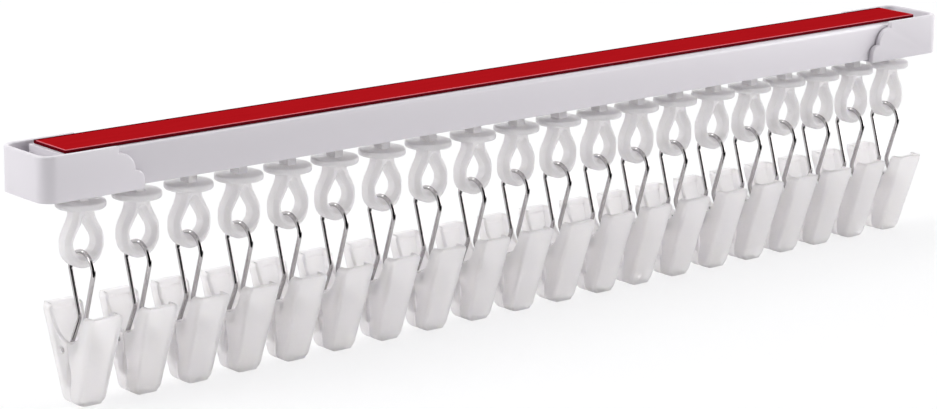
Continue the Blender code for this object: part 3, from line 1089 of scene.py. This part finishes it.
@dataclass(frozen=True)
class Jaw:
    """One moulded jaw: a leaning plate with two flanges and a web that open towards the middle.

    Heights are measured from the fulcrum, the edge on which the two jaws rock. Above it is the
    pad with its rim, and below it the closed jaws leave a gap with the shape of a lens.
    """

    length: float = 29.4
    lean: float = 17.8
    tip_depth: float = 4.4
    tip_drop: float = 18.2
    tip_solid: float = 4.4
    crown: float = 0.3
    top_width: float = 11.6
    tip_width: float = 9.6
    outer_wall: float = 1.3
    flange: float = 1.4
    flange_depth: float = 4.2
    rim: float = 1.5
    rim_depth: float = 2.0
    top_slope: float = 1.0
    top_corner: float = 1.5
    tip_corner: float = 2.3
    corner_steps: int = 8
    side_radius: float = 1.3
    side_steps: int = 5
    inner_radius: float = 0.6
    inner_steps: int = 4
    straight: float = 3.8
    curve: Point = (6.0, 0.6)
    curve_steps: int = 16
    web: float = 1.2
    web_height: float = 4.0
    flat: float = 5.4
    lens_length: float = 8.0
    lens_depth: float = 0.9
    lens_steps: int = 12
    chamfer: float = 0.5
    play: float = 0.15
    hole: Point = (3.0, -2.6)
    hole_radius: float = 1.05
    hole_sides: int = 28
    hole_reach: float = 9.6
    soft_edge: float = 0.3
    soft_angle: float = 45.0
    sharp: float = 50.0
    smooth: float = 35.0

    def at(self, along: float, depth: float) -> Point:
        """A point of the jaw's side, from the fulcrum.

        Args:
            along: how far up the outer face from the tip.
            depth: how far in from the outer face.

        Returns:
            The distance across and the height.
        """
        lean = math.radians(self.lean)
        across = self.tip_depth + along * math.sin(lean) - depth * math.cos(lean)
        return across, -self.tip_drop + along * math.cos(lean) + depth * math.sin(lean)

    def half_width(self, height: float) -> float:
        """Half of the jaw's width at a height over the fulcrum."""
        share = (height + self.tip_drop) / (self.length * math.cos(math.radians(self.lean)))
        return (self.tip_width + (self.top_width - self.tip_width) * share) / 2

    def outline(self) -> list[Point]:
        """The side of the jaw, whose inner edge rocks on the other jaw.

        Returns:
            The outline, from the fulcrum.
        """
        high = self.at(self.length - self.straight, self.flange_depth)
        low = (self.play, 0.0)
        inner = [self.at(self.length - self.top_slope, self.flange_depth)]
        for share in (step / self.curve_steps for step in range(self.curve_steps + 1)):
            inner.append(tuple((1 - share) ** 2 * start + 2 * share * (1 - share) * pull
                               + share ** 2 * end
                               for start, pull, end in zip(high, self.curve, low)))
        for share in (step / self.lens_steps for step in range(self.lens_steps + 1)):
            inner.append((self.play + self.lens_depth * math.sin(math.pi * share),
                          -self.flat - self.lens_length * share))
        floor = -self.tip_drop - self.crown
        tip = [(self.play, floor + self.chamfer), (self.play + self.chamfer, floor),
               self.at(-self.crown / math.cos(math.radians(self.lean)), 0)]
        return inner + tip + [self.at(self.length, 0)]

    def face_outline(self) -> list[Point]:
        """The jaw seen from the front: a tapered plate with four round corners.

        Returns:
            The outline, from the fulcrum.
        """
        floor, top = -self.tip_drop - self.crown, self.at(self.length, 0)[1]
        radius = self.tip_corner
        side = arc((self.half_width(floor) - radius, floor + radius), radius, -90, 0,
                   self.corner_steps)
        radius = self.top_corner
        side += arc((self.half_width(top) - radius, top - radius), radius, 0, 90,
                    self.corner_steps)
        return side + mirrored(side)

    def hollow_outline(self) -> list[Point]:
        """The side of what is cut from the jaw: all but outer wall, rim, web and solid tip.

        Returns:
            The outline, from the fulcrum.
        """
        below = self.length - self.top_slope - self.rim
        over = self.at(self.length + self.top_slope, self.rim_depth)
        beyond = -self.length
        face = self.play + self.web
        return [self.at(below, self.outer_wall), self.at(below, self.rim_depth), over,
                (beyond, over[1]), (beyond, 0), (face, 0), (face, -self.web_height),
                (beyond, -self.web_height), (beyond, -self.flat - self.lens_length),
                self.at(self.tip_solid, self.outer_wall)]

    def taper(self, piece: bpy.types.Object, inset: float) -> None:
        """Give a plate that runs from -1 to 1 the jaw's width, less an inset.

        Args:
            piece: the plate.
            inset: how much narrower it is on each side, in millimetres.
        """
        for vertex in piece.data.vertices:
            vertex.co.x *= self.half_width(vertex.co.z / MM) - inset

    def model(self) -> bpy.types.Object:
        """Model the back jaw with its fulcrum at the origin.

        Returns:
            The jaw.
        """
        jaw = plate("jaw", self.outline(), Plane.YZ, -self.top_width, self.top_width)
        combine(jaw, plate("face", self.face_outline(), Plane.XZ, -self.length, self.length),
                Join.SHARED)
        round_edges(jaw, self.side_radius, self.side_steps, self.is_outer_edge)
        cutter = plate("hollow", self.hollow_outline(), Plane.YZ, -1, 1)
        self.taper(cutter, self.flange)
        round_edges(cutter, self.inner_radius, self.inner_steps,
                    lambda edge: middle(edge).y > self.play and middle(edge).z > NEAR
                    and is_sharp(edge, self.sharp))
        combine(jaw, cutter)
        combine(jaw, round_bar("hole", self.hole_radius, (-self.top_width, *self.hole),
                               self.hole_reach, Plane.YZ, self.hole_sides))
        soften(jaw, self.soft_edge, angle=self.soft_angle)
        shade(jaw, self.smooth)
        return jaw

    def is_outer_edge(self, edge: Any) -> bool:
        """Whether an edge runs up the outer face's left or right side, or under its tip.

        Args:
            edge: an edge of the jaw.

        Returns:
            True for the edges that are rounded most.
        """
        spot = middle(edge)
        lean = math.radians(self.lean)
        depth = ((self.tip_depth - spot.y) * math.cos(lean)
                 + (spot.z + self.tip_drop) * math.sin(lean))
        return abs(depth) < NEAR / 2 and not runs_along(edge, Axis.X) and is_sharp(edge, self.sharp)


@dataclass(frozen=True)
class Hangers:
    """The twenty gliders with their wires and jaws, each in its parked place.

    On the first clips, counted from the left, the jaws open, and the wire is cut into its loop and
    two legs.
    """

    fulcrum: float = -59.32
    count: int = 20
    opening: int = 7

    def build(self, nylon: bpy.types.Material, steel: bpy.types.Material,
              frosted: bpy.types.Material) -> list[bpy.types.Object]:
        """Model one glider, one wire and one jaw and place all of them.

        Args:
            nylon: the gliders' finish.
            steel: the wires' finish.
            frosted: the jaws' finish.

        Returns:
            All pieces.
        """
        glider, wire, jaw = Glider().model(), WireSpring().model(), Jaw().model()
        for piece, finish in ((glider, nylon), (wire, steel), (jaw, frosted)):
            piece.data.materials.clear()
            piece.data.materials.append(finish)
        bow, leg = WireSpring().parts(wire)
        made = []
        for number in (f"{index + 1:02d}" for index in range(self.count)):
            node = f"glider_{number}"
            low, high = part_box(node)
            place = Matrix.Translation(((low.x + high.x) / 2, 0, 0))
            carrier = copy_of(glider, f"eye_{node}", place)
            fit(carrier, node, "glider_nylon", node)
            made += [carrier, *self.jaws(number, place, jaw)]
            if self.opens(number):
                made += self.flexing(number, place, bow, leg)
            else:
                made.append(self.whole(number, place, wire))
        for piece in (glider, wire, bow, leg, jaw):
            bpy.data.objects.remove(piece, do_unlink=True)
        return made

    def opens(self, number: str) -> bool:
        """Whether a clip's jaws open, so that its pieces have their own nodes."""
        return int(number) <= self.opening

    def jaws(self, number: str, place: Matrix, jaw: bpy.types.Object) -> list[bpy.types.Object]:
        """Place one clip's jaws.

        Args:
            number: the clip's number.
            place: where its glider is.
            jaw: the back jaw that is copied.

        Returns:
            The back jaw and the front jaw.
        """
        rocker = place @ Matrix.Translation((0, 0, self.fulcrum * MM))
        made = []
        for half in Half:
            piece = copy_of(jaw, f"jaw_{half.word}_{number}", rocker @ half.turn)
            if self.opens(number):
                node, slot = f"{half.word}_jaw_{number}", "jaw_plastic"
            else:
                node, slot = f"clip_{number}", "clip_plastic"
            fit(piece, node, slot, node)
            made.append(piece)
        return made

    def whole(self, number: str, place: Matrix, wire: bpy.types.Object) -> bpy.types.Object:
        """Place the wire of a clip whose jaws stay closed.

        Args:
            number: the clip's number.
            place: where its glider is.
            wire: the wire that is copied.

        Returns:
            The wire.
        """
        spring = copy_of(wire, f"bent_wire_{number}", place)
        fit(spring, f"clip_{number}", "spring_steel", f"clip_{number}")
        return spring

    def flexing(self, number: str, place: Matrix, bow: bpy.types.Object,
                leg: bpy.types.Object) -> list[bpy.types.Object]:
        """Place the wire of a clip whose jaws open.

        Args:
            number: the clip's number.
            place: where its glider is.
            bow: the loop that is copied.
            leg: the leg at the back that is copied.

        Returns:
            The loop and both legs.
        """
        node = f"wire_spring_{number}"
        made = [copy_of(bow, f"wire_bow_{number}", place)]
        fit(made[0], node, "spring_steel", node)
        for half in Half:
            piece = copy_of(leg, f"wire_leg_{half.word}_{number}", place @ half.turn)
            WireSpring().flex(piece, half, number)
            made.append(piece)
        return made


# The studio


@dataclass(frozen=True)
class ViewPoint:
    """The camera that took the picture: metres, degrees, and millimetres for lens and sensor."""

    place: Triple = (-0.63244, -0.72757, 0.19719)
    yaw: float = 40.065
    pitch: float = -14.049
    roll: float = 0.700
    lens: float = 119.219
    sensor: float = 36.0
    nearest: float = 0.01

    def build(self) -> None:
        """Make the camera and use it."""
        yaw, pitch, roll = (math.radians(angle) for angle in (self.yaw, self.pitch, self.roll))
        ahead = Vector((math.sin(yaw) * math.cos(pitch), math.cos(yaw) * math.cos(pitch),
                        math.sin(pitch)))
        level = Vector((math.cos(yaw), -math.sin(yaw), 0.0))
        upright = level.cross(ahead)
        right = math.cos(roll) * level + math.sin(roll) * upright
        above = math.cos(roll) * upright - math.sin(roll) * level
        data = bpy.data.cameras.new("studio_camera")
        data.lens = self.lens
        data.sensor_width = self.sensor
        data.clip_start = self.nearest
        made = bpy.data.objects.new("studio_camera", data)
        turn = Matrix((right, above, -ahead)).transposed().to_4x4()
        made.matrix_world = Matrix.Translation(self.place) @ turn
        bpy.context.scene.collection.objects.link(made)
        bpy.context.scene.camera = made


@dataclass(frozen=True)
class Softbox:
    """One studio lamp: a large soft rectangle that is aimed at the rack, in metres and watts."""

    name: str
    place: Triple
    aim: Triple
    size: Point
    power: float

    def build(self) -> None:
        """Make the lamp."""
        data = bpy.data.lights.new(self.name, "AREA")
        data.shape = "RECTANGLE"
        data.size, data.size_y = self.size
        data.energy = self.power
        made = bpy.data.objects.new(self.name, data)
        direction = Vector(self.aim) - Vector(self.place)
        turn = direction.to_track_quat("-Z", "Y").to_matrix().to_4x4()
        made.matrix_world = Matrix.Translation(self.place) @ turn
        bpy.context.scene.collection.objects.link(made)


@dataclass(frozen=True)
class DarkCard:
    """A black card that lies in front of the rack and rises between it and the camera.

    Only mirrored rays see it, so it hides nothing and casts no shadow. It gives the wires the
    black lines that a bright wire has in a pale studio. Sizes are in metres.
    """

    near: float = -0.045
    far: float = -0.5
    left: float = -1.9
    right: float = 0.4
    top: float = 0.9
    thickness: float = 0.002
    colour: str = "101010"

    def build(self, floor_height: float) -> None:
        """Model the card as one plate with the profile of an L.

        Args:
            floor_height: the height of the floor that it lies on, in metres.
        """
        made, tree, output = blank_material("black_card")
        matt = add_node(tree, "ShaderNodeBsdfDiffuse", {"Color": linear(self.colour)})
        tree.links.new(matt.outputs[0], output.inputs["Surface"])
        near, far, top, wall, low = (size / MM for size in (
            self.near, self.far, self.top, self.thickness, floor_height))
        profile = [(near, low + wall), (near, low + 2 * wall), (far + wall, low + 2 * wall),
                   (far + wall, top), (far, top), (far, low + wall)]
        card = plate("dark_card", profile, Plane.YZ, self.left / MM, self.right / MM)
        card.data.materials.append(made)
        card.visible_camera = False
        card.visible_shadow = False
        card.visible_diffuse = False
        card.visible_transmission = False


@dataclass(frozen=True)
class Studio:
    """A pale floor, a pale surround, soft lamps and the dark card. Sizes are in metres."""

    floor_height: float = -0.0783
    floor_size: float = 8.0
    floor_thickness: float = 0.01
    floor_colour: str = "FBFBFC"
    paper: float = 0.95
    seen_paper: float = 0.3
    seen_glow: float = 0.74
    ambient: float = 0.16
    lamps: tuple[Softbox, ...] = (
        Softbox("left_softbox", (-1.35, 0.62, 0.8), (-0.1, 0, -0.04), (1.2, 1.1), power=18.0),
        Softbox("front_softbox", (0.7, -1.5, 0.2), (0.05, 0, -0.06), (1.2, 0.9), power=12.0),
        Softbox("right_softbox", (2.3, -0.65, 0.5), (0.05, 0, -0.04), (1.7, 1.3), power=28.0),
        Softbox("top_softbox", (0.1, 0.3, 1.6), (0, 0, 0), (1.8, 1.2), power=14.0),
        Softbox("back_softbox", (0.5, 1.5, 0.3), (0, 0, -0.04), (2.4, 1.1), power=6.0),
    )

    def seen(self, tree: bpy.types.NodeTree) -> bpy.types.NodeSocket:
        """One for the rays by which the surround is seen: straight, mirrored or through glass.

        Args:
            tree: the tree that asks.

        Returns:
            The socket with the answer.
        """
        path = add_node(tree, "ShaderNodeLightPath")
        mirror = add_node(tree, "ShaderNodeMath", {"operation": "MAXIMUM"},
                          {0: path.outputs["Is Camera Ray"], 1: path.outputs["Is Glossy Ray"]})
        whole = add_node(tree, "ShaderNodeMath", {"operation": "MAXIMUM"},
                         {0: mirror.outputs[0], 1: path.outputs["Is Transmission Ray"]})
        return whole.outputs[0]

    def surround(self) -> None:
        """Set the world: white where it is seen, a plain soft light everywhere else."""
        world = bpy.data.worlds.new("pale_surround")
        world.use_nodes = True
        tree = world.node_tree
        tree.nodes.clear()
        level = add_node(tree, "ShaderNodeMapRange", {"To Min": self.ambient, "To Max": 1.0},
                         {"Value": self.seen(tree)})
        sky = add_node(tree, "ShaderNodeBackground", {"Color": linear("FFFFFF")},
                       {"Strength": level.outputs["Result"]})
        add_node(tree, "ShaderNodeOutputWorld", links={"Surface": sky.outputs["Background"]})
        bpy.context.scene.world = world

    def floor_material(self) -> bpy.types.Material:
        """White paper sweep: it is seen as white and still takes the rack's shadow.

        Where it is seen, it is a darker paper with a glow of its own that together make white.
        For all other light it is plain bright paper.

        Returns:
            The material.
        """
        made, tree, output = blank_material("white_paper_sweep")
        seen = self.seen(tree)
        tone = add_node(tree, "ShaderNodeMapRange",
                        {"To Min": self.paper, "To Max": self.seen_paper}, {"Value": seen})
        paper = add_node(tree, "ShaderNodeBsdfDiffuse", links={"Color": tone.outputs["Result"]})
        share = add_node(tree, "ShaderNodeMath", {"operation": "MULTIPLY", 1: self.seen_glow},
                         {0: seen})
        glow = add_node(tree, "ShaderNodeEmission", {"Color": linear(self.floor_colour)},
                        {"Strength": share.outputs[0]})
        both = add_node(tree, "ShaderNodeAddShader", links={0: paper.outputs[0],
                                                            1: glow.outputs[0]})
        tree.links.new(both.outputs[0], output.inputs["Surface"])
        return made

    def build(self) -> None:
        """Make the surround, the floor, the lamps and the card."""
        self.surround()
        half, top = self.floor_size / 2 / MM, self.floor_height / MM
        corners = [(-half, -half), (half, -half), (half, half), (-half, half)]
        floor = plate("floor", corners, Plane.XY, top - self.floor_thickness / MM, top)
        floor.data.materials.append(self.floor_material())
        for lamp in self.lamps:
            lamp.build()
        DarkCard().build(self.floor_height)


def main() -> None:
    """Build the studio and the rack in order, and report each piece."""
    logging.basicConfig(level=logging.INFO, format="%(message)s")
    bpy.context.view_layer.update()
    bpy.context.scene.view_settings.view_transform = "Standard"
    ViewPoint().build()
    Studio().build()
    # The film's cut edge takes a painted highlight as its finish
    white, nylon, frosted, film, cut, foam = (
        finish.build() for finish in (WHITE_ABS, NYLON, FROSTED, RED_FILM, FILM_EDGE_HIGHLIGHT, RED_FOAM))
    pieces = [Rail().build(white), *Tape().build(film, cut, foam), *EndCap().build(white)]
    pieces += Hangers().build(nylon, NICKEL.build(), frosted)
    for piece in pieces:
        LOG.info("%s: %d faces", piece.name, len(piece.data.polygons))


if __name__ == "__main__":
    main()
